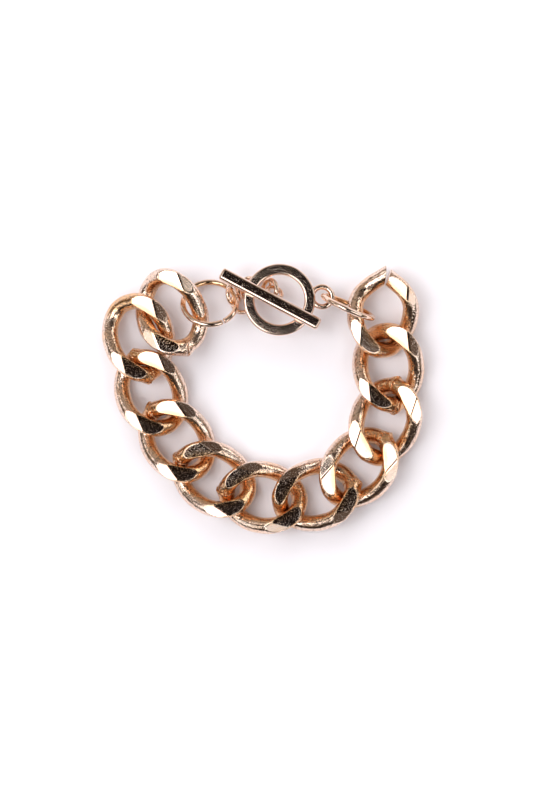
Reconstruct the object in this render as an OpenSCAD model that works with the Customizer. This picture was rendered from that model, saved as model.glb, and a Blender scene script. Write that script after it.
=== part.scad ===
// Link bracelet lying closed in a loop: a chain of heavy twisted links and a toggle clasp.
// Millimetres, Z up. The origin lies on the floor below the middle of the bracelet.

/* [Links] */
// diameter of the round wire of a link
link_wire_d = 3.5; // [3:0.1:4]
// outer length of a link
link_length = 19.2; // [17:0.1:22]
// outer width of a link
link_width = 15.4; // [14:0.1:18]
// squareness of the oval, 2 is a plain ellipse
link_squareness = 2.35; // [2.1:0.05:2.8]
// room between two crossing wires of a straight chain, which lets the chain curve
link_play = 0.6; // [0.4:0.05:1.2]
// width of the sprung seam of the last link, at the outer edge of its wire
sprung_seam = 1.1; // [0.4:0.1:1.5]
// how pointed that end of the last link is, 0 is as round as the others
sprung_point = 0.85; // [0:0.05:0.95]

/* [Cut flats] */
// depth of the cut below the crown of the wire
cut_depth = 0.65; // [0.2:0.05:1]
// distance of the ridge between two flats from the long axis of the link
ridge_offset = 4.7; // [4:0.1:5.5]
// fall of the inner flat towards the long axis, in degrees
inner_fall = 9; // [0:1:15]
// fall of the outer flat towards the rim, in degrees
outer_fall = 16; // [8:1:25]

/* [Toggle ring] */
// outer diameter of the toggle ring
toggle_ring_d = 15.3; // [14:0.1:17]
// width of its flat band
toggle_band = 2.35; // [1.8:0.05:2.8]
// thickness of its flat band
toggle_thickness = 1.8; // [1.4:0.1:2]
// bevel along the edges of the band
toggle_bevel = 0.45; // [0.2:0.05:0.6]
// outer diameter of its eye
ring_eye_d = 5.5; // [5:0.1:6.5]
// diameter of the wire of its eye
ring_eye_wire = 1.25; // [1:0.05:1.4]

/* [Toggle bar] */
// length of the bar
bar_length = 23.6; // [21:0.1:27]
// width of the bar
bar_width = 2.6; // [2:0.1:2.8]
// thickness of the bar
bar_thickness = 2.3; // [2:0.1:2.6]
// bevel along the edges of the bar
bar_bevel = 0.5; // [0.2:0.05:0.7]
// outer diameter of the eye of the bar
bar_eye_d = 4.2; // [3.8:0.1:5]
// diameter of the wire of the eye of the bar
bar_eye_wire = 1; // [0.8:0.05:1.2]
// angle of the eye from straight below the bar, in degrees
bar_eye_turn = 46; // [0:1:80]

/* [Jump rings] */
// outer diameter of the two large rings
large_ring_d = 12.6; // [11:0.1:14]
// diameter of their wire
large_ring_wire = 1.2; // [0.9:0.05:1.4]
// gap where a large ring is cut
ring_gap = 0.4; // [0.2:0.05:0.8]
// outer diameter of the small rings
small_ring_d = 5.4; // [5:0.1:6]
// diameter of their wire
small_ring_wire = 0.96; // [0.8:0.02:1.1]

/* [Hidden] */
wire_r = link_wire_d / 2;
half_len = link_length / 2 - wire_r;
half_wid = link_width / 2 - wire_r;
sides = 12;
sections = 44;

// The route further down counts distances in units of a small part of the link's wire. It is laid
// out for links whose wire's middle line is route_length long and route_width wide.
units_in_wire = 35;
route_unit = link_wire_d / units_in_wire;
route_length = 157;
route_width = 119;
stretch = (link_length - link_wire_d) / (route_length * route_unit);
widening = link_width - link_wire_d - route_width * route_unit;

// Tighter links need more play to curve as much.
tightness = min(stretch, 1 + widening / (route_width * route_unit));

// The ends of a link are turned until its corners lie half a wire and half the play from its middle.
// The highest corner of the twisted oval is this share of half_wid times the sine of the twist.
corner_share = 0.565;
corner_height = (link_wire_d + link_play / pow(tightness, 2)) / 2;
twist = asin(corner_height / (corner_share * half_wid));

// Height of the ridge between the flats, on which a link also rests.
ridge_height = corner_height + wire_r - cut_depth;
cut_reach = link_width;

// The sprung seam's width at the inner edge of the wire, its slant, and the angle from it at which
// the wire starts to run straight.
seam_inside = 0.15;
seam_slant = -8;
sprung_from = 24;

large_r = (large_ring_d - large_ring_wire) / 2;
small_r = (small_ring_d - small_ring_wire) / 2;
ring_eye_r = (ring_eye_d - ring_eye_wire) / 2;
bar_eye_r = (bar_eye_d - bar_eye_wire) / 2;
// The eyes are soldered on, sunk a little into what carries them.
solder_sink = 0.1;
ring_eye_x = toggle_ring_d / 2 + ring_eye_r - ring_eye_wire / 2 - solder_sink;
bar_eye_z = bar_thickness / 2 + bar_eye_d / 2 - bar_eye_wire / 2 - solder_sink;

// The route of the links as they lie: x, y, lift above lying flat, roll, pitch, heading.
// Its distances, and those of the clasp below, count in units of a small part of the link's wire.
link_route = [
    [-196, 184, 14, 9, -6, -69],
    [-264, 131, 6, -4, 2, -76],
    [-239, 14, 2, 0, -1, -67],
    [-184, -88, 1, 0, 0, -54],
    [-105, -169, 1, 0, 0, -33],
    [0, -209, 2, -2, -1, -12],
    [113, -204, 1, 0, 0, 16],
    [204, -146, 2, 2, 0, 48],
    [260, -48, 3, 0, -1, 72],
    [267, 67, 1, 1, 0, 96],
    [255, 183, 6, 5, -1, 86]
];
last = len(link_route) - 1;

// The clasp's pieces as they lie: x, y, z in the same units, then the turns about X, Y and Z.
toggle_ring_place = [35, 211, 51, -3.5, -1, 4];
toggle_bar_place = [15, 212, 75, -6, -4, -28];
large_left_place = [-113, 204, 40, 36, 0, 180];
large_right_place = [180, 196, 64, 98, 0, -24];
left_open_at = 120;
right_open_at = 200;
small_route = [
    [-63, 223, 24, 58, 0, 98],
    [-45, 207, 19, -23, 0, 93],
    [-32, 237, 24, 40, 0, 58],
    [-4, 243, 20, 42, 0, -161],
    [14, 232, 38, 49, 0, -95]
];

// The first and last link hang in the large rings by one limb, which stays there. The second lies
// beside the first. From it on, longer links take longer steps, and the loop's corners turn by up
// to bend degrees to close it again.
function spot(i) = route_unit * [link_route[i][0], link_route[i][1]];
function across(i) = [-sin(link_route[i][5]), cos(link_route[i][5])];
function way(v) = atan2(v[1], v[0]);
function along(angle) = [cos(angle), sin(angle)];
first_spot = spot(0) - across(0) * widening / 2;
chain_start = first_spot + spot(1) - spot(0) - across(0) * widening;
chain_end = spot(last) - across(last) * widening / 2;

function step_way(i) = i < 1 || i >= last ? 0 : way(spot(i + 1) - spot(i));
function step_run(i) = norm(spot(i + 1) - spot(i)) * stretch;
function turned(i, bend) = bend * sin(2 * step_way(i));
function walk(i, bend) = i <= 1 ? [0, 0] :
    walk(i - 1, bend) + step_run(i - 1) * along(step_way(i - 1) + turned(i - 1, bend));
bend_limit = 40;
function closing_bend(low, high, tries) =
    let (middle = (low + high) / 2)
    tries == 0 ? middle :
    norm(walk(last, middle)) > norm(chain_end - chain_start) ?
    closing_bend(middle, high, tries - 1) : closing_bend(low, middle, tries - 1);
bend = closing_bend(-bend_limit, bend_limit, 30);
swing = way(chain_end - chain_start) - way(walk(last, bend));
function link_spot(i) = i == 0 ? first_spot :
    chain_start + norm(walk(i, bend)) * along(way(walk(i, bend)) + swing);
function link_heading(i) = link_route[i][5] +
    (i == 0 ? 0 : swing + (turned(i - 1, bend) + turned(i, bend)) / 2);

function signed_pow(v, e) = sign(v) * pow(abs(v), e);

// A point of the oval's centre line at angle t, with the ends turned about the long axis. The end
// at angle 0 is pointed by as much as point says.
function power_at(t, point) = 2 / (link_squareness - point * max(0, cos(t)));
function oval_x(t, point) = half_len * signed_pow(cos(t), power_at(t, point));
function oval_y(t, point) = half_wid * signed_pow(sin(t), power_at(t, point));
function wire_at(t, point) =
    let (x = oval_x(t, point), y = oval_y(t, point), turn = -twist * x / half_len)
    [x, y * cos(turn), y * sin(turn)];

function unit(v) = v / norm(v);

// One round section of the wire, square to its run.
function section_at(t, point) =
    let (run = unit(wire_at(t + 1, point) - wire_at(t - 1, point)))
    let (outward = unit(cross(run, [0, 0, 1])))
    let (upward = cross(outward, run), middle = wire_at(t, point))
    [for (k = [0:sides - 1])
        middle + wire_r * (cos(360 * k / sides) * outward + sin(360 * k / sides) * upward)];

// The wall between the first rings of points, each joined to the next round the count of them.
function wall(rings, count) = [
    for (i = [0:rings - 1], k = [0:sides - 1])
        let (i2 = (i + 1) % count, k2 = (k + 1) % sides)
        let (a = i * sides + k, b = i * sides + k2, c = i2 * sides + k2, d = i2 * sides + k)
        each [[a, b, c], [a, c, d]]
];

module twisted_oval() {
    points = [for (i = [0:sections - 1]) each section_at(360 * (i + 0.5) / sections, 0)];
    polyhedron(points, wall(sections, sections));
}

// The last link's seam has sprung apart: near it both ends of the wire run straight on to the two
// faces of an open wedge.
function wedge_turn(side) = seam_slant + side * atan((sprung_seam - seam_inside) / 2 / link_wire_d);
function onto_wedge(t, side) =
    let (run = unit(wire_at(t + 1, sprung_point) - wire_at(t - 1, sprung_point)))
    let (square = [-sin(wedge_turn(side)), cos(wedge_turn(side)), 0])
    let (root = [half_len - wire_r, side * seam_inside / 2, 0])
    [for (p = section_at(t, sprung_point)) p - run * (square * (p - root)) / (square * run)];

module sprung_oval() {
    curved = [for (i = [0:sections - 1]) sprung_from + (360 - 2 * sprung_from) * i / (sections - 1)];
    points = [
        each onto_wedge(sprung_from, 1),
        for (t = curved) each section_at(t, sprung_point),
        each onto_wedge(-sprung_from, -1)
    ];
    count = sections + 2;
    first_end = [for (k = [sides - 1:-1:0]) k];
    last_end = [for (k = [0:sides - 1]) (count - 1) * sides + k];
    polyhedron(points, [first_end, each wall(count - 1, count), last_end]);
}

// The prism between the cut flats above and below, which run along the long axis.
module cut_prism() {
    valley = ridge_height - ridge_offset * tan(inner_fall);
    rim = ridge_height - (cut_reach - ridge_offset) * tan(outer_fall);
    upper = [[-cut_reach, rim], [-ridge_offset, ridge_height], [0, valley],
        [ridge_offset, ridge_height], [cut_reach, rim]];
    rotate([90, 0, 90])
        linear_extrude(2 * link_length, center = true)
            polygon([each upper, for (i = [4:-1:0]) [upper[i][0], -upper[i][1]]]);
}

module link(sprung) {
    intersection() {
        if (sprung) sprung_oval();
        else twisted_oval();
        cut_prism();
    }
}

module placed_link(i) {
    p = link_route[i];
    color([0.85, 0.6, 0.48])
        translate([link_spot(i)[0], link_spot(i)[1], ridge_height + p[2] * route_unit])
            rotate([p[3], p[4], link_heading(i)])
                link(i == last);
}

// A ring of round wire in the XY plane, cut open by the gap at the angle open_at.
module wire_ring(radius, wire_d, gap = 0, open_at = 0) {
    gap_angle = gap / radius * 180 / PI;
    rotate([0, 0, open_at + gap_angle / 2])
        rotate_extrude(angle = 360 - gap_angle, $fn = 64)
            translate([radius, 0])
                circle(d = wire_d, $fn = 24);
}

module placed(p) {
    translate(route_unit * [p[0], p[1], p[2]])
        rotate([p[3], p[4], p[5]])
            children();
}

// Flat bevelled ring lying over the small rings, with its round eye towards the last link.
module toggle_ring() {
    outer = toggle_ring_d / 2;
    inner = outer - toggle_band;
    top = toggle_thickness / 2;
    color([0.8, 0.57, 0.46])
        placed(toggle_ring_place) {
            rotate_extrude($fn = 96)
                polygon([
                    [inner + toggle_bevel, -top], [outer - toggle_bevel, -top],
                    [outer, toggle_bevel - top], [outer, top - toggle_bevel],
                    [outer - toggle_bevel, top], [inner + toggle_bevel, top],
                    [inner, top - toggle_bevel], [inner, toggle_bevel - top]
                ]);
            translate([ring_eye_x, 0, 0])
                wire_ring(ring_eye_r, ring_eye_wire);
        }
}

module bevelled_rect(length, width, bevel) {
    x = length / 2;
    y = width / 2;
    polygon([
        [bevel - x, -y], [x - bevel, -y], [x, bevel - y], [x, y - bevel],
        [x - bevel, y], [bevel - x, y], [-x, y - bevel], [-x, bevel - y]
    ]);
}

// Flat bar with bevels along all its edges, its eye soldered below and to one side.
module toggle_bar() {
    color([0.8, 0.57, 0.46])
        placed(toggle_bar_place) {
            intersection() {
                linear_extrude(bar_thickness, center = true)
                    bevelled_rect(bar_length, bar_width, bar_bevel);
                rotate([90, 0, 0])
                    linear_extrude(bar_width, center = true)
                        bevelled_rect(bar_length, bar_thickness, bar_bevel);
                rotate([90, 0, 90])
                    linear_extrude(bar_length, center = true)
                        bevelled_rect(bar_width, bar_thickness, bar_bevel);
            }
            rotate([bar_eye_turn, 0, 0])
                translate([0, 0, -bar_eye_z])
                    rotate([90, 0, 0])
                        wire_ring(bar_eye_r, bar_eye_wire);
        }
}

module large_ring_left() {
    color([0.85, 0.62, 0.5])
        placed(large_left_place)
            wire_ring(large_r, large_ring_wire, ring_gap, left_open_at);
}

module large_ring_right() {
    color([0.85, 0.62, 0.5])
        placed(large_right_place)
            wire_ring(large_r, large_ring_wire, ring_gap, right_open_at);
}

module small_ring(i) {
    color([0.85, 0.62, 0.5])
        placed(small_route[i])
            wire_ring(small_r, small_ring_wire);
}

for (i = [0:len(link_route) - 1])
    placed_link(i);
toggle_ring();
toggle_bar();
large_ring_left();
large_ring_right();
for (i = [0:len(small_route) - 1])
    small_ring(i);
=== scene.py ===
import math

import bpy
import numpy as np
from mathutils import Matrix, Vector


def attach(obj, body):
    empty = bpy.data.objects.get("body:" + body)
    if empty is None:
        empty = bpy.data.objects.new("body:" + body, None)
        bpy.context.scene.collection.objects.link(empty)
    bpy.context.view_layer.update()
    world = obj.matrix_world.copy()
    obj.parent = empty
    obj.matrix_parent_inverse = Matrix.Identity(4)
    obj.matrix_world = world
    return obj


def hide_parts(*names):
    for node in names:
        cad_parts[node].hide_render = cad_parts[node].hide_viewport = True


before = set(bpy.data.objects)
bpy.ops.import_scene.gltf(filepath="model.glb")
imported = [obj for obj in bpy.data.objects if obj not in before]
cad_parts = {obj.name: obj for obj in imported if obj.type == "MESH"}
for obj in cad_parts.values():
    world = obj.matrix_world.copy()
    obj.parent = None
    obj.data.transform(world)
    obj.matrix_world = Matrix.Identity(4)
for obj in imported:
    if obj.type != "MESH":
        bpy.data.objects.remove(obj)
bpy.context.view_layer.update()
mm = 0.001
print("frame loaded")


# Helpers for places and meshes

def turnMatrix(rx, ry, rz):
    # Turns about X, then Y, then Z, in degrees.
    (cx, cy, cz), (sx, sy, sz) = np.cos(np.radians([rx, ry, rz])), np.sin(np.radians([rx, ry, rz]))
    aboutX = np.array([[1, 0, 0], [0, cx, -sx], [0, sx, cx]])
    aboutY = np.array([[cy, 0, sy], [0, 1, 0], [-sy, 0, cy]])
    aboutZ = np.array([[cz, -sz, 0], [sz, cz, 0], [0, 0, 1]])
    return aboutZ @ aboutY @ aboutX


def putInPlace(points, place):
    # place is x, y, z in mm and the turns about X, Y and Z in degrees.
    return points @ turnMatrix(*place[3:]).T + np.array(place[:3])


def unit(v):
    # Each vector divided by its own length.
    return v / np.maximum(np.linalg.norm(v, axis=-1, keepdims=True), 1e-12)


def softMin(a, b, blend):
    # The lower of two values, with the corner between them rounded over the blend.
    h = np.clip(0.5 + 0.5 * (b - a) / blend, 0, 1)
    return b * (1 - h) + a * h - blend * h * (1 - h)


def smoothBand(d, inner, outer):
    # 1 where d is under inner, 0 where it is over outer, smooth between.
    s = np.clip((np.abs(d) - inner) / (outer - inner), 0, 1)
    return 1 - s * s * (3 - 2 * s)


def ripple(p, seed, waves=7, size=1.0):
    # A sum of a few sine waves in random directions: smooth noise of about +-1, whose swells are
    # about size wide.
    rng = np.random.default_rng(seed)
    radiansPerSwell = 2.2
    way = rng.normal(size=(waves, 3)) * (radiansPerSwell / size)
    phase = rng.uniform(0, 2 * np.pi, waves)
    return np.sin(p @ way.T + phase).sum(-1) / math.sqrt(waves)


def gridFaces(rows, columns, closedRows=True):
    # Quads of a grid of points, closed round each row and, if asked, from the last row to the first.
    i = np.arange(rows if closedRows else rows - 1)[:, None]
    j = np.arange(columns)[None, :]
    i2, j2 = (i + 1) % rows, (j + 1) % columns
    quads = np.stack([i * columns + j, i * columns + j2, i2 * columns + j2, i2 * columns + j], -1)
    return quads.reshape(-1, 4)


def gridCorners(runs, columns):
    # The quads' corners laid out flat: the run along the tube and the share of the way round it.
    j = np.broadcast_to(np.arange(columns) / columns, (len(runs) - 1, columns))
    j2 = j + 1 / columns
    a, b = (np.broadcast_to(r[:, None], j.shape) for r in (runs[:-1], runs[1:]))
    corners = [np.stack(pair, -1) for pair in ((a, j), (a, j2), (b, j2), (b, j))]
    return np.stack(corners, 2).reshape(-1, 4, 2)


def enclosed(points, quads):
    # Six times the volume inside the quads, negative where they look inward.
    a, b, c, d = (points[quads[:, k]] for k in range(4))
    return (a * np.cross(b, c)).sum() + (a * np.cross(c, d)).sum()


def outwardQuads(p):
    # Quads of a grid closed both ways, turned to look outward.
    quads = gridFaces(p.shape[0], p.shape[1], True)
    return quads[:, ::-1] if enclosed(p.reshape(-1, 3), quads) < 0 else quads


def endFans(points, rows, columns):
    # Closes the first and the last row of a tube, each with a fan to its middle.
    fans, middles = [], []
    for row, last in ((0, False), (rows - 1, True)):
        ring = row * columns + np.arange(columns)
        following = np.roll(ring, -1)
        middle = np.full(columns, len(points) + len(middles))
        middles.append(points[ring].mean(0))
        fans.append(np.stack([ring, following, middle] if last else [ring, middle, following], -1))
    return np.vstack([points, middles]), np.vstack(fans)


def addPiece(node, points, quads, tris=None, corners=None, marks=None):
    # A mesh in metres from points in mm, its faces turned to look outward, in place of the node.
    # corners is the flat layout of the quads' corners. marks holds values of the points for the
    # materials: flat is 1 on a cut face, brushed is how strongly the wheel's lines show there, and
    # the third how strongly a painted copper reflection of the neighbouring links shows.
    if enclosed(points, quads) < 0:
        quads, tris = quads[:, ::-1], None if tris is None else tris[:, ::-1]
        corners = None if corners is None else corners[:, ::-1]
    name = "rose_" + node
    mesh = bpy.data.meshes.new(name)
    faces = quads.tolist() + ([] if tris is None else tris.tolist())
    mesh.from_pydata((points * mm).tolist(), [], faces)
    if corners is not None:
        layout = np.zeros((len(mesh.loops), 2), np.float32)
        layout[:quads.size] = corners.reshape(-1, 2)
        mesh.uv_layers.new(name="layout").data.foreach_set("uv", layout.ravel())
    for mark, given in (marks or {}).items():
        values = np.zeros(len(points), np.float32)
        values[:given.size] = given.ravel()
        mesh.attributes.new(mark, "FLOAT", "POINT").data.foreach_set("value", values)
    mesh.shade_smooth()
    piece = bpy.data.objects.new(name, mesh)
    bpy.context.scene.collection.objects.link(piece)
    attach(piece, "root")
    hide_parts(node)
    return piece


# Links

link = {
    "wire": 3.5, "length": 19.2, "width": 15.4, "squareness": 2.35, "play": 0.6,
    "cutDepth": 0.65, "ridgeOffset": 4.7, "innerFall": 9, "outerFall": 16,
    "cornerShare": 0.565,       # highest corner of the twisted oval, as a share of its half width
    "edgeBlend": 0.10, "ridgeBlend": 0.11,      # rounding of the cut edges and of the ridge
    "flatDepth": 0.04,          # depth of the cut from which a point is fully flat
    "wobble": 0.035, "wobbleSize": 2.6, "wobbleSeed": 40,       # slight unevenness of the wire
    "paintedEndReflection": (5.0, 7.6),       # where an end takes the painted copper reflection, from the middle of the link
    "sections": 300, "sides": 96,
}
# x, y, lift above lying flat, roll, pitch, heading; the end that holds the seam, and the side of
# it on which the wire stands out further
linkPlaces = [
    (-19.6, 18.4, 1.4, 9, -6, -69, 1, 1),
    (-26.4, 13.1, 0.6, -4, 2, -76, 1, -1),
    (-23.9, 1.4, 0.2, 0, -1, -67, -1, -1),
    (-18.4, -8.8, 0.1, 0, 0, -54, -1, 1),
    (-10.5, -16.9, 0.1, 0, 0, -33, -1, 1),
    (0.0, -20.9, 0.2, -2, -1, -12, -1, 1),
    (11.3, -20.4, 0.1, 0, 0, 16, 1, -1),
    (20.4, -14.6, 0.2, 2, 0, 48, 1, -1),
    (26.0, -4.8, 0.3, 0, -1, 72, 1, 1),
    (26.7, 6.7, 0.1, 1, 0, 96, -1, 1),
    (25.5, 18.3, 0.6, 5, -1, 86, 1, 1),
]
seam = {
    "slit": (0.04, 0.13),       # half width of the slit between the wire's ends, at its floor and mouth
    "depth": 0.45,              # its depth
    "wander": 0.07, "wanderSize": 0.8, "wanderSeed": 90,        # how far the slit strays along the wire
    "overshoot": 0.62,          # how far the longer end stands out
    "undershoot": 0.24,         # how far the shorter one does
    "reach": 1.5,               # how far along the wire they do
    "fade": 1.4,                # how fast that goes off round the wire
    "ragged": 0.07, "raggedSize": 0.3, "raggedSeed": 70,        # unevenness of the pinched ends
    "raggedReach": (0.2, 1.0),  # where it goes off along the wire
    "raggedAround": -0.2,       # cosine of the angle round the wire at which it stops
    "point": 0.2,               # how pointed that end of the link is
    "crowding": 0.72,           # how much closer the sections stand there
}
# the last link's seam has sprung apart
sprung = {
    "link": 11, "point": 0.85, "outside": 1.1, "inside": 0.15, "slant": -8, "straightFrom": 24,
    # sections of each straight end, by their share of the way to the cut, the cut end first
    "shares": (1, 0.985, 0.96, 0.9, 0.82, 0.73, 0.64, 0.54, 0.43, 0.32, 0.21, 0.1),
    "worn": (0.94, 0.985),      # size of the first of them, for a worn edge round the cut end
}

wireR = link["wire"] / 2
halfLen, halfWid = link["length"] / 2 - wireR, link["width"] / 2 - wireR
cornerHeight = (link["wire"] + link["play"]) / 2
twist = math.asin(cornerHeight / (link["cornerShare"] * halfWid))
ridgeHeight = cornerHeight + wireR - link["cutDepth"]


def ovalLine(t, point, end):
    # Centre line of a link: a squared oval whose ends are turned about the long axis. The end
    # given is pointed by as much as point says.
    power = 2 / (link["squareness"] - point * np.maximum(0, end * np.cos(t)))
    x = halfLen * np.sign(np.cos(t)) * np.abs(np.cos(t)) ** power
    y = halfWid * np.sign(np.sin(t)) * np.abs(np.sin(t)) ** power
    turn = -twist * x / halfLen
    return np.stack([x, y * np.cos(turn), y * np.sin(turn)], -1)


def wireFrame(t, point, end):
    # Middle of the wire at t, its run, and the two directions square to it.
    step = 0.01
    run = unit(ovalLine(t + step, point, end) - ovalLine(t - step, point, end))
    outward = unit(np.cross(run, [0, 0, 1.0]))
    return ovalLine(t, point, end), run, outward, np.cross(outward, run)


def evenTurns(start, stop, count, point, end, crowding):
    # Values of t at even steps along the wire, or closer together at both ends by the crowding.
    fine = np.linspace(start, stop, 6001)
    steps = np.linalg.norm(np.diff(ovalLine(fine, point, end), axis=0), axis=1)
    run = np.r_[0, np.cumsum(steps)]
    share = np.linspace(0, 1, count)
    share = share - crowding * np.sin(2 * np.pi * share) / (2 * np.pi)
    return np.interp(share * run[-1], run, fine), share * run[-1]


def spokes(outward, upward):
    # The angles round the wire and its directions at each: the outward one turned by the angle.
    angle = np.arange(link["sides"]) * 2 * np.pi / link["sides"]
    return angle, np.cos(angle)[:, None] * outward[:, None] + np.sin(angle)[:, None] * upward[:, None]


def wobble(p, index):
    # How far the wire's surface strays from its radius.
    return link["wobble"] * ripple(p, link["wobbleSeed"] + index, size=link["wobbleSize"])


def pressFlat(p):
    # Brings points down to the cut faces: a ridge on each side, falling to the axis and to the rim.
    # Below, the same faces mirrored. Returns 1 where a face was cut.
    past = np.abs(p[..., 1]) - link["ridgeOffset"]
    inner, outer = (math.tan(math.radians(link[side])) for side in ("innerFall", "outerFall"))
    roof = ridgeHeight + softMin(past * inner, -past * outer, link["ridgeBlend"])
    flat = np.clip((np.abs(p[..., 2]) - roof) / link["flatDepth"], 0, 1)
    z = softMin(p[..., 2], roof, link["edgeBlend"])
    p[..., 2] = -softMin(-z, roof, link["edgeBlend"])
    return flat


def closedLink(index, end, hand):
    # A round wire carried along the oval: the middle plus the radius times each spoke. At the seam
    # its two ends stand out like pinched corners, one further than the other, with a ragged slit
    # between them.
    k = seam
    start = 0 if end > 0 else np.pi
    t, run = evenTurns(start, start + 2 * np.pi, link["sections"] + 1, k["point"], end, k["crowding"])
    middle, _, outward, upward = wireFrame(t[:-1], k["point"], end)
    along = np.where(run[:-1] > run[-1] / 2, run[:-1] - run[-1], run[:-1])[:, None]
    angle, spoke = spokes(outward, upward)
    p = middle[:, None] + wireR * spoke
    radius = wireR + wobble(p, index)
    corner = np.clip(1 - np.abs(along) / k["reach"], 0, 1)
    tall = np.where(along * hand > 0, k["overshoot"], k["undershoot"])
    ragged = k["ragged"] * ripple(p, k["raggedSeed"] + index, size=k["raggedSize"])
    ragged = ragged * smoothBand(along, *k["raggedReach"])
    radius = radius + np.clip(np.cos(angle), 0, 1) ** k["fade"] * (corner * tall)
    radius = radius + ragged * (np.cos(angle) > k["raggedAround"])
    stray = k["wander"] * ripple(p, k["wanderSeed"] + index, size=k["wanderSize"])
    radius = radius - smoothBand(along + stray, *k["slit"]) * k["depth"]
    return middle[:, None] + radius[..., None] * spoke, run


def sprungLink(index):
    # The same wire with a pointed end, where it runs straight on to the two faces of an open wedge.
    k = sprung
    shares = np.array(k["shares"])[:, None, None]
    sizes = np.r_[k["worn"], np.ones(len(shares) - len(k["worn"]))][:, None, None]
    first, last = math.radians(k["straightFrom"]), 2 * math.pi - math.radians(k["straightFrom"])
    t, _ = evenTurns(first, last, link["sections"] - 2 * len(shares), k["point"], 1, 0.0)
    middle, way, outward, upward = wireFrame(t, k["point"], 1)
    p = middle[:, None] + wireR * spokes(outward, upward)[1]
    ends = []
    for row, side in ((0, 1), (-1, -1)):
        opening = math.atan((k["outside"] - k["inside"]) / 2 / link["wire"])
        face = math.radians(k["slant"]) + side * opening
        square = np.array([-math.sin(face), math.cos(face), 0])
        root = np.array([halfLen - wireR, side * k["inside"] / 2, 0])
        reach = ((p[row] - root) @ square / (way[row] @ square))[:, None] * way[row]
        straight = p[row] - shares * reach
        centre = straight.mean(1, keepdims=True)
        straight = centre + (straight - centre) * sizes
        ends.append(straight if row == 0 else straight[::-1])
    p = np.concatenate([ends[0], p, ends[1]])
    steps = np.linalg.norm(np.diff(p.mean(1), axis=0), axis=1)
    out = unit(p - p.mean(1, keepdims=True))
    return p + out * wobble(p, index)[..., None], np.r_[0, np.cumsum(steps)]


def makeLink(index, place):
    # The wire pressed flat. An end that lies in a neighbour, in its shade, gets a painted copper
    # reflection of that neighbour, which the first link's ends and the free end of the last don't.
    x, y, lift, roll, pitch, heading, end, hand = place
    closed = index != sprung["link"]
    p, run = closedLink(index, end, hand) if closed else sprungLink(index)
    flat = pressFlat(p)
    paintedReflectionEnds = 0 if index == 1 else -1 if index == len(linkPlaces) else np.sign(p[..., 0])
    into = p[..., 0] * paintedReflectionEnds
    paintedEndReflection = (1 - smoothBand(into, *link["paintedEndReflection"])) * (into > 0)
    rows, columns = p.shape[:2]
    points, tris = p.reshape(-1, 3), None
    if not closed:
        points, tris = endFans(points, rows, columns)
    points = putInPlace(points, (x, y, ridgeHeight + lift, roll, pitch, heading))
    marks = {"flat": flat, "brushed": flat, "paintedEndReflection": paintedEndReflection}
    return addPiece("link_%02d" % index, points, gridFaces(rows, columns, closed), tris,
                    gridCorners(run, columns), marks)


linkPieces = [makeLink(i + 1, place) for i, place in enumerate(linkPlaces)]
print("links made")


# Jump rings

rings = {
    "large": {"diameter": 12.6, "wire": 1.2, "gap": 0.4, "sections": 160, "sides": 32},
    "small": {"diameter": 5.4, "wire": 0.96, "gap": 0.08, "sections": 112, "sides": 28},
    "cutEnd": 0.9,              # size of the last section at a cut end
    "uneven": 0.012,            # unevenness of the wire, as a share of its radius
    "swells": 3,                # how close its swells lie
    "seed": 200,
}
# x, y, z, the turns about X, Y and Z, and the angle of the cut
ringPlaces = [
    ("large_ring_left", "large", (-11.3, 20.4, 4.0, 36, 0, 180), 120),
    ("large_ring_right", "large", (18.0, 19.6, 6.4, 98, 0, -24), 200),
    ("small_ring_1", "small", (-6.3, 22.3, 2.4, 58, 0, 98), 60),
    ("small_ring_2", "small", (-4.5, 20.7, 1.9, -23, 0, 93), 200),
    ("small_ring_3", "small", (-3.2, 23.7, 2.4, 40, 0, 58), 20),
    ("small_ring_4", "small", (-0.4, 24.3, 2.0, 42, 0, -161), 100),
    ("small_ring_5", "small", (1.4, 23.2, 3.8, 49, 0, -95), 240),
]


def wireRing(radius, wireRadius, gap, openAt, sections, sides, seed):
    # A round wire carried round a circle from one side of its gap to the other: the radius plus the
    # wire's own circle, turned. The last section at each side of a gap is drawn in.
    half = gap / 2 / radius
    turn = math.radians(openAt) + np.linspace(half, 2 * np.pi - half, sections)
    angle = np.linspace(0, 2 * np.pi, sides, endpoint=False)
    size = np.full(sections, 1.0)
    if gap > 0:
        size[[0, -1]] = rings["cutEnd"]
    onCircle = np.stack([np.cos(turn), np.sin(turn), 0 * turn], -1)
    uneven = 1 + rings["uneven"] * ripple(onCircle * rings["swells"], seed)
    r = wireRadius * size * uneven
    out = radius + r[:, None] * np.cos(angle)[None]
    up = r[:, None] * np.sin(angle)[None]
    return np.stack([out * np.cos(turn)[:, None], out * np.sin(turn)[:, None], up], -1)


def makeRing(name, kind, place, openAt, seed):
    # A cut ring of round wire, its two ends closed.
    k = rings[kind]
    radius, wireRadius = (k["diameter"] - k["wire"]) / 2, k["wire"] / 2
    p = wireRing(radius, wireRadius, k["gap"], openAt, k["sections"], k["sides"], seed)
    rows, columns = p.shape[:2]
    points, tris = endFans(p.reshape(-1, 3), rows, columns)
    corners = gridCorners(np.linspace(0, 2 * np.pi * radius, rows), columns)
    return addPiece(name, putInPlace(points, place), gridFaces(rows, columns, False), tris,
                    corners)


ringPieces = [makeRing(*row, seed=rings["seed"] + i) for i, row in enumerate(ringPlaces)]
print("jump rings made")


# Toggle clasp

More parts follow.
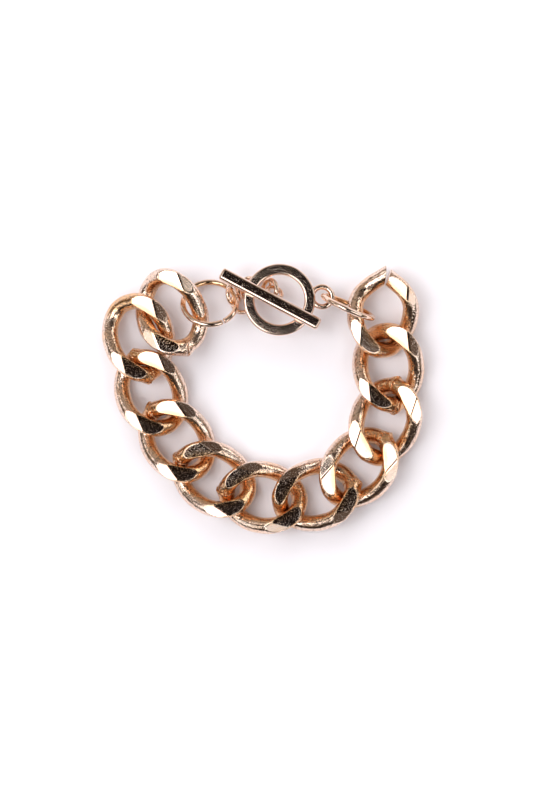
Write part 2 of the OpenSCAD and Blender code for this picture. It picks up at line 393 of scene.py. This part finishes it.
toggleRing = {
    "diameter": 15.3, "band": 2.35, "thickness": 1.8, "bevel": 0.28, "round": 0.42, "sections": 288,
    "place": (3.5, 21.1, 5.1, -3.5, -1, 4),
    "brushed": 0.25,            # how strongly the wheel's lines show
    "eye": {"diameter": 5.5, "wire": 1.25, "startAt": 180, "sections": 127, "sides": 32, "seed": 301},
}
toggleBar = {
    "length": 23.6, "width": 2.6, "thickness": 2.3, "bevel": 0.38, "round": 0.55, "endRound": 0.6,
    "endSections": 12, "sections": 36,          # of one end's arc, and of half the run between them
    "sectionsFrom": 0.3,        # where the latter start, past the arc
    "place": (1.5, 21.2, 7.5, -6, -4, -28),
    "eyeTurn": 46,
    "eye": {"diameter": 4.2, "wire": 1.0, "startAt": 90, "sections": 111, "sides": 28, "seed": 302},
}
solderSink = 0.1                # how far an eye is sunk into what carries it


def bevelledProfile(lowX, highX, halfZ, bevel, radius, steps=8):
    # A rectangle with bevels, each of its eight corners replaced by a short arc of the radius.
    corners = np.array([
        (lowX + bevel, -halfZ), (highX - bevel, -halfZ), (highX, bevel - halfZ), (highX, halfZ - bevel),
        (highX - bevel, halfZ), (lowX + bevel, halfZ), (lowX, halfZ - bevel), (lowX, bevel - halfZ)])
    before, after = np.roll(corners, 1, 0), np.roll(corners, -1, 0)
    u, v = unit(before - corners), unit(after - corners)
    half = np.arccos(np.clip((u * v).sum(-1), -1, 1)) / 2
    cut = (radius / np.tan(half))[:, None]
    middle = corners + unit(u + v) * (radius / np.sin(half))[:, None]
    a, b = corners + u * cut - middle, corners + v * cut - middle
    share = np.linspace(0, 1, steps)[None, :, None]
    arc = unit(a[:, None] * (1 - share) + b[:, None] * share) * radius + middle[:, None]
    return arc.reshape(-1, 2)


def eyeRing(k):
    # A closed ring of round wire and the radius of its middle line.
    radius = (k["diameter"] - k["wire"]) / 2
    ring = wireRing(radius, k["wire"] / 2, 0, k["startAt"], k["sections"] + 1, k["sides"], k["seed"])
    return ring[:-1], radius


def makeToggleRing():
    # The bevelled profile turned round a circle, with its eye beside it.
    k = toggleRing
    outer = k["diameter"] / 2
    profile = bevelledProfile(outer - k["band"], outer, k["thickness"] / 2, k["bevel"], k["round"])
    turn = np.linspace(0, 2 * np.pi, k["sections"], endpoint=False)[:, None]
    band = np.stack([profile[:, 0] * np.cos(turn), profile[:, 0] * np.sin(turn),
                     np.broadcast_to(profile[:, 1], (k["sections"], len(profile)))], -1)
    eye, eyeRadius = eyeRing(k["eye"])
    eye = eye + np.array([outer + eyeRadius - k["eye"]["wire"] / 2 - solderSink, 0, 0])
    points = np.vstack([band.reshape(-1, 3), eye.reshape(-1, 3)])
    onBand = band.shape[0] * band.shape[1]
    quads = np.vstack([outwardQuads(band), outwardQuads(eye) + onBand])
    flat = np.ones(onBand)
    return addPiece("toggle_ring", putInPlace(points, k["place"]), quads,
                    marks={"flat": flat, "brushed": flat * k["brushed"]})


def makeToggleBar():
    # The bevelled profile carried along the bar and drawn in at both ends along a quarter circle,
    # with its eye below and to one side.
    k = toggleBar
    half, y, z, end = k["length"] / 2, k["width"] / 2, k["thickness"] / 2, k["endRound"]
    profile = bevelledProfile(-y, y, z, k["bevel"], k["round"])
    arc = end * (1 - np.cos(np.linspace(0, np.pi / 2, k["endSections"])))
    run = np.concatenate([arc, np.linspace(end + k["sectionsFrom"], half, k["sections"])])
    inset = end - np.sqrt(np.maximum(0, end ** 2 - np.maximum(0, end - run) ** 2))
    run, inset = np.r_[run, (2 * half - run[:-1])[::-1]] - half, np.r_[inset, inset[:-1][::-1]]
    scale = np.stack([(y - inset) / y, (z - inset) / z], -1)
    p = np.concatenate([np.broadcast_to(run[:, None, None], (len(run), len(profile), 1)),
                        profile[None] * scale[:, None]], -1)
    rows, columns = p.shape[:2]
    points, tris = endFans(p.reshape(-1, 3), rows, columns)
    quads = gridFaces(rows, columns, False)
    if enclosed(points, quads) < 0:
        quads, tris = quads[:, ::-1], tris[:, ::-1]
    eye, eyeRadius = eyeRing(k["eye"])
    eye = eye @ turnMatrix(90, 0, 0).T - np.array([0, 0, z + eyeRadius - solderSink])
    eye = eye @ turnMatrix(k["eyeTurn"], 0, 0).T
    quads = np.vstack([quads, outwardQuads(eye) + len(points)])
    flat = np.ones(len(points))
    points = np.vstack([points, eye.reshape(-1, 3)])
    return addPiece("toggle_bar", putInPlace(points, k["place"]), quads, tris,
                    marks={"flat": flat, "brushed": flat})


claspPieces = [makeToggleRing(), makeToggleBar()]
print("clasp made")


# Materials

class Value:
    # A node socket that takes part in Python sums.
    def __init__(self, maker, socket):
        self.maker, self.socket = maker, socket

    def __add__(self, other):
        return self.maker.maths("ADD", self, other)

    def __sub__(self, other):
        return self.maker.maths("SUBTRACT", self, other)

    def __rsub__(self, other):
        return self.maker.maths("SUBTRACT", other, self)

    def __mul__(self, other):
        return self.maker.maths("MULTIPLY", self, other)

    __radd__ = __add__
    __rmul__ = __mul__


class Finish:
    # A node tree being filled, of a material or of the world.
    def __init__(self, owner):
        owner.use_nodes = True
        self.tree = owner.node_tree
        self.tree.nodes.clear()

    def node(self, kind, settings=None, **sockets):
        # Any node: its settings first, then the values or links of its sockets.
        made = self.tree.nodes.new(kind)
        for key, value in (settings or {}).items():
            setattr(made, key, value)
        for key, value in sockets.items():
            place = made.inputs[int(key[1:])] if key[0] == "_" else made.inputs[key.replace("_", " ")]
            if isinstance(value, Value):
                self.tree.links.new(value.socket, place)
            else:
                place.default_value = value
        return made

    def out(self, node, name=0):
        return Value(self, node.outputs[name])

    def maths(self, operation, a, b=0.0):
        return self.out(self.node("ShaderNodeMath", {"operation": operation}, _0=a, _1=b))

    def mix(self, factor, a, b):
        return self.out(self.node("ShaderNodeMix", {"data_type": "RGBA"}, _0=factor, _6=a, _7=b), 2)

    def ramp(self, value, low, high):
        # 0 below low, 1 above high, smooth between.
        return self.out(self.node("ShaderNodeMapRange", {"interpolation_type": "SMOOTHSTEP"},
                                  Value=value, From_Min=low, From_Max=high))

    def scaled(self, vector, scale, turn=(0, 0, 0)):
        return self.out(self.node("ShaderNodeMapping", Vector=vector, Scale=scale, Rotation=turn))

    def noise(self, at, scale, detail=3.0, roughness=0.5):
        return self.out(self.node("ShaderNodeTexNoise", Vector=at, Scale=scale, Detail=detail,
                                  Roughness=roughness))

    def bump(self, height):
        return self.out(self.node("ShaderNodeBump", Height=height, Strength=1.0, Distance=1.0))

    def end(self, kind, shader):
        self.tree.links.new(shader.outputs[0], self.node(kind).inputs[0])


# Heights in metres, scales in cells a metre. The round wire is mottled as plated castings are, the
# cut faces are finer, with dull specks and lines from the grinding wheel.
linkFinish = {
    "metal": (0.93, 0.73, 0.615, 1),
    "inner": (0.885, 0.54, 0.30, 1),            # the warmer gold: the gold's own in patches, painted reflection of the gold round it on inner sides and buried ends
    "innerShare": (0.11, 0.30),                 # how far round the wire the painted reflection on the inner side reaches
    "warm": 0.5, "warmScale": 260, "warmEdge": (0.35, 0.75),    # and patches of the gold's own warmer tone elsewhere
    "mottleScale": 3200, "mottleHeight": 5e-5, "lumpScale": 950, "lumpHeight": 3.5e-5,
    "pit": (0.42, 0.31, 0.25, 1), "pits": 0.9, "pitEdge": (0.34, 0.46),
    "speckScale": 6500, "speckEdge": (0.60, 0.74), "speckHeight": 9e-7, "speckRoughness": 0.25,
    "grindAlong": 5.0, "grindAcross": 0.16, "grindHeight": 2.2e-6,      # the lines' size in mm
    "grindEdge": (0.5, 0.8), "grindRoughness": 0.10,
    "roughness": 0.045, "roundRoughness": 0.07,
}
ringFinish = dict(linkFinish, mottleHeight=5e-6, mottleScale=1800, lumpHeight=5e-6, pits=0.15,
                  roundRoughness=0.03, warm=0.3)
claspFinish = dict(ringFinish, grindHeight=8e-6, speckRoughness=0.2, warm=0.2)


def roseGold(name, look, onWire=True, streakTurn=(0, 0, 0)):
    # On a wire the grinding lines follow its run, elsewhere a way turned by the streaks' turn.
    metal = bpy.data.materials.new(name)
    f = Finish(metal)
    at = f.out(f.node("ShaderNodeTexCoord"), "Object")
    flat, brushed, paintedEndReflection = (f.out(f.node("ShaderNodeAttribute", {"attribute_name": mark}), "Fac")
                             for mark in ("flat", "brushed", "paintedEndReflection"))
    onRound = 1 - flat
    mottle = f.noise(at, look["mottleScale"], detail=0.6)
    lumps = f.noise(at, look["lumpScale"], detail=1)
    speck = flat * f.ramp(f.noise(at, look["speckScale"], detail=0), *look["speckEdge"])
    patches = f.ramp(f.noise(at, look["warmScale"], detail=2), *look["warmEdge"]) * look["warm"]
    # painted copper reflection of the neighbouring links on the round wire of the ends that lie in them
    warm = f.maths("MAXIMUM", patches, paintedEndReflection * onRound)
    if onWire:
        # the layout holds mm along the wire and the share of the way round it, 0.5 on the inner side
        layout = f.out(f.node("ShaderNodeUVMap", {"uv_map": "layout"}))
        share = f.out(f.node("ShaderNodeSeparateXYZ", Vector=layout), "Y")
        # painted reflection of the neighbouring gold on the inner side of the wire, which faces the link's
        # hole
        innerReflection = 1 - f.ramp(f.maths("ABSOLUTE", share - 0.5), *look["innerShare"])
        warm = f.maths("MAXIMUM", warm, innerReflection)
        streaks = f.scaled(layout, (1 / look["grindAlong"], 2 * math.pi * wireR / look["grindAcross"], 1))
    else:
        across = 1 / (look["grindAcross"] * mm)
        streaks = f.scaled(at, (1 / (look["grindAlong"] * mm), across, across), streakTurn)
    lines = f.noise(streaks, 1, detail=2, roughness=0.7)
    height = ((mottle * look["mottleHeight"] + lumps * look["lumpHeight"]) * onRound
              - speck * look["speckHeight"] + lines * (brushed * look["grindHeight"]))
    # the metal's colour, warmer in the gold's own patches and where reflections of the neighbouring gold are
    # painted
    colour = f.mix(warm, look["metal"], look["inner"])
    pits = (1 - f.ramp(mottle, *look["pitEdge"])) * onRound * look["pits"]
    colour = f.mix(pits, colour, look["pit"])
    rough = (look["roughness"] + onRound * look["roundRoughness"] + speck * look["speckRoughness"]
             + brushed * f.ramp(lines, *look["grindEdge"]) * look["grindRoughness"])
    f.end("ShaderNodeOutputMaterial", f.node("ShaderNodeBsdfPrincipled", Base_Color=colour, Metallic=1.0,
                                             Roughness=rough, Normal=f.bump(height)))
    return metal


linkMetal = roseGold("rose gold links", linkFinish)
ringMetal = roseGold("rose gold rings", ringFinish)
barTurn = (0, 0, -math.radians(toggleBar["place"][5]))
claspMetal = roseGold("rose gold clasp", claspFinish, False, barTurn)
for pieces, metal in ((linkPieces, linkMetal), (ringPieces, ringMetal), (claspPieces, claspMetal)):
    for piece in pieces:
        piece.data.materials.append(metal)
print("materials made")


# Floor, lights and camera

# lengths in metres
floor = {
    "size": 1.4, "colour": (0.945, 0.905, 0.955, 1), "roughness": 0.9,
    "grainScale": 900, "grainHeight": 4e-6,
}
# a dark opening overhead with a dim rim, in pale uneven walls; the edges are polar angles
sky = {
    "zenith": (0.014, 0.010, 0.009, 1),
    "rim": (0.11, 0.09, 0.078, 1), "rimEdge": (24, 32), "wallsEdge": (40, 54),
    "wallsLean": 0.2,           # the walls start further down towards +X
    "wallsBack": 0.13,          # and are paler towards +Y
    "wallsDark": (0.04, 0.031, 0.026, 1), "wallsBright": (0.46, 0.385, 0.32, 1),
    "patchScale": 3.2, "patchEdge": (0.44, 0.64),
}
light = {"colour": (0.98, 1.0, 1.0), "distance": 3.0}       # metres from the bracelet
# degrees from straight up towards +X and +Y, half sizes in degrees, turn in degrees, brightness
softboxes = {
    "left softbox": (-24.5, -0.7, 17, 16, -30.8, 2.4),
    "upper left softbox": (-22.5, 4.8, 16, 4.2, 0, 2.4),
    "lower left softbox": (-23.5, -26.5, 9.5, 8.5, 0, 2.4),
    "front panel": (-5, -32, 7, 5, 0, 0.8),
    "lower right softbox": (26, -15.5, 12, 8.5, 0, 2.4),
    "lower right panel": (33, -30, 9, 7, 0, 0.9),
    "upper left panel": (-24, 24, 12, 5, -20, 1.0),
    "right panel": (48.5, -2, 9.5, 9, 0, 1.0),
    "overhead panel": (9.5, 18.5, 2.5, 2.2, 0, 1.2),
    "upper right panel": (55, 40, 9, 24, 38, 1.6),
    "lower right strip": (47, -33, 20, 4, 37, 2.2),
    "left panel": (-59, -19, 10, 17, 0, 1.2),
    "left back panel": (-55, 30, 6, 8, 0, 1.2),
}
# lights that the metal doesn't mirror, lower and mostly from the left, so that shadows fall in the links
fills = {
    "fill from the left": (-50, 10, 22, 24, 0, 2.25),
    "fill from behind": (-10, 56, 24, 18, 0, 2.5),
    "fill from the right": (60, 5, 16, 24, 0, 0.6),
    "fill from the front": (-5, -60, 24, 16, 0, 0.1),
}
# looks straight down from its place in mm
camera = {"lens": 150, "sensor": 36, "place": (0.75, 1.31, 700.5), "clip": (0.01, 20)}


def makeFloor():
    k, half = floor, floor["size"] / 2
    mesh = bpy.data.meshes.new("floor")
    corners = [(-half, -half, 0), (half, -half, 0), (half, half, 0), (-half, half, 0)]
    mesh.from_pydata(corners, [], [(0, 1, 2, 3)])
    sheet = bpy.data.objects.new("floor", mesh)
    bpy.context.scene.collection.objects.link(sheet)
    paper = bpy.data.materials.new("white paper")
    f = Finish(paper)
    grain = f.noise(f.out(f.node("ShaderNodeTexCoord"), "Object"), k["grainScale"])
    f.end("ShaderNodeOutputMaterial",
          f.node("ShaderNodeBsdfPrincipled", Base_Color=k["colour"], Roughness=k["roughness"],
                 Normal=f.bump(grain * k["grainHeight"])))
    mesh.materials.append(paper)


def makeSky():
    # The colour by the height of the direction looked in, which is the cosine of its polar angle.
    k = sky
    world = bpy.data.worlds.new("studio")
    f = Finish(world)
    way = f.out(f.node("ShaderNodeTexCoord"), "Generated")
    split = f.node("ShaderNodeSeparateXYZ", Vector=way)
    toRight, toBack, height = (f.out(split, axis) for axis in "XYZ")
    rim, walls = ([math.cos(math.radians(a)) for a in k[edge]] for edge in ("rimEdge", "wallsEdge"))
    patch = f.noise(way, k["patchScale"], detail=2) + toBack * k["wallsBack"]
    patches = f.mix(f.ramp(patch, *k["patchEdge"]), k["wallsDark"], k["wallsBright"])
    colour = f.mix(f.ramp(height + toRight * k["wallsLean"], walls[1], walls[0]), patches, k["rim"])
    colour = f.mix(f.ramp(height, rim[1], rim[0]), colour, k["zenith"])
    f.end("ShaderNodeOutputWorld", f.node("ShaderNodeBackground", Color=colour, Strength=1.0))
    bpy.context.scene.world = world


def addLight(name, x, y, halfX, halfY, turn, brightness, glossy=True):
    # An area light aimed at the bracelet, placed as it is seen from there.
    polar, azimuth = math.radians(math.hypot(x, y)), math.atan2(y, x)
    way = Vector((math.sin(polar) * math.cos(azimuth), math.sin(polar) * math.sin(azimuth), math.cos(polar)))
    level = Vector((math.cos(math.radians(turn)), math.sin(math.radians(turn)), 0))
    level = (level - way * level.dot(way)).normalized()
    facing = Matrix((level, way.cross(level), way)).transposed().to_4x4()
    distance = light["distance"]
    data = bpy.data.lights.new(name, "AREA")
    data.shape, data.color = "RECTANGLE", light["colour"]
    data.size, data.size_y = (2 * distance * math.tan(math.radians(half)) for half in (halfX, halfY))
    data.energy = brightness * math.pi * data.size * data.size_y
    lamp = bpy.data.objects.new(name, data)
    lamp.matrix_world = Matrix.Translation(way * distance) @ facing
    lamp.visible_glossy = glossy
    bpy.context.scene.collection.objects.link(lamp)


def makeCamera():
    data = bpy.data.cameras.new("camera")
    data.lens, data.sensor_width = camera["lens"], camera["sensor"]
    data.clip_start, data.clip_end = camera["clip"]
    shot = bpy.data.objects.new("camera", data)
    shot.location = [c * mm for c in camera["place"]]
    bpy.context.scene.collection.objects.link(shot)
    bpy.context.scene.camera = shot


makeFloor()
makeSky()
for name, box in softboxes.items():
    addLight(name, *box)
for name, box in fills.items():
    addLight(name, *box, glossy=False)
makeCamera()
bpy.context.scene.view_settings.view_transform = "Standard"
print("stage made")
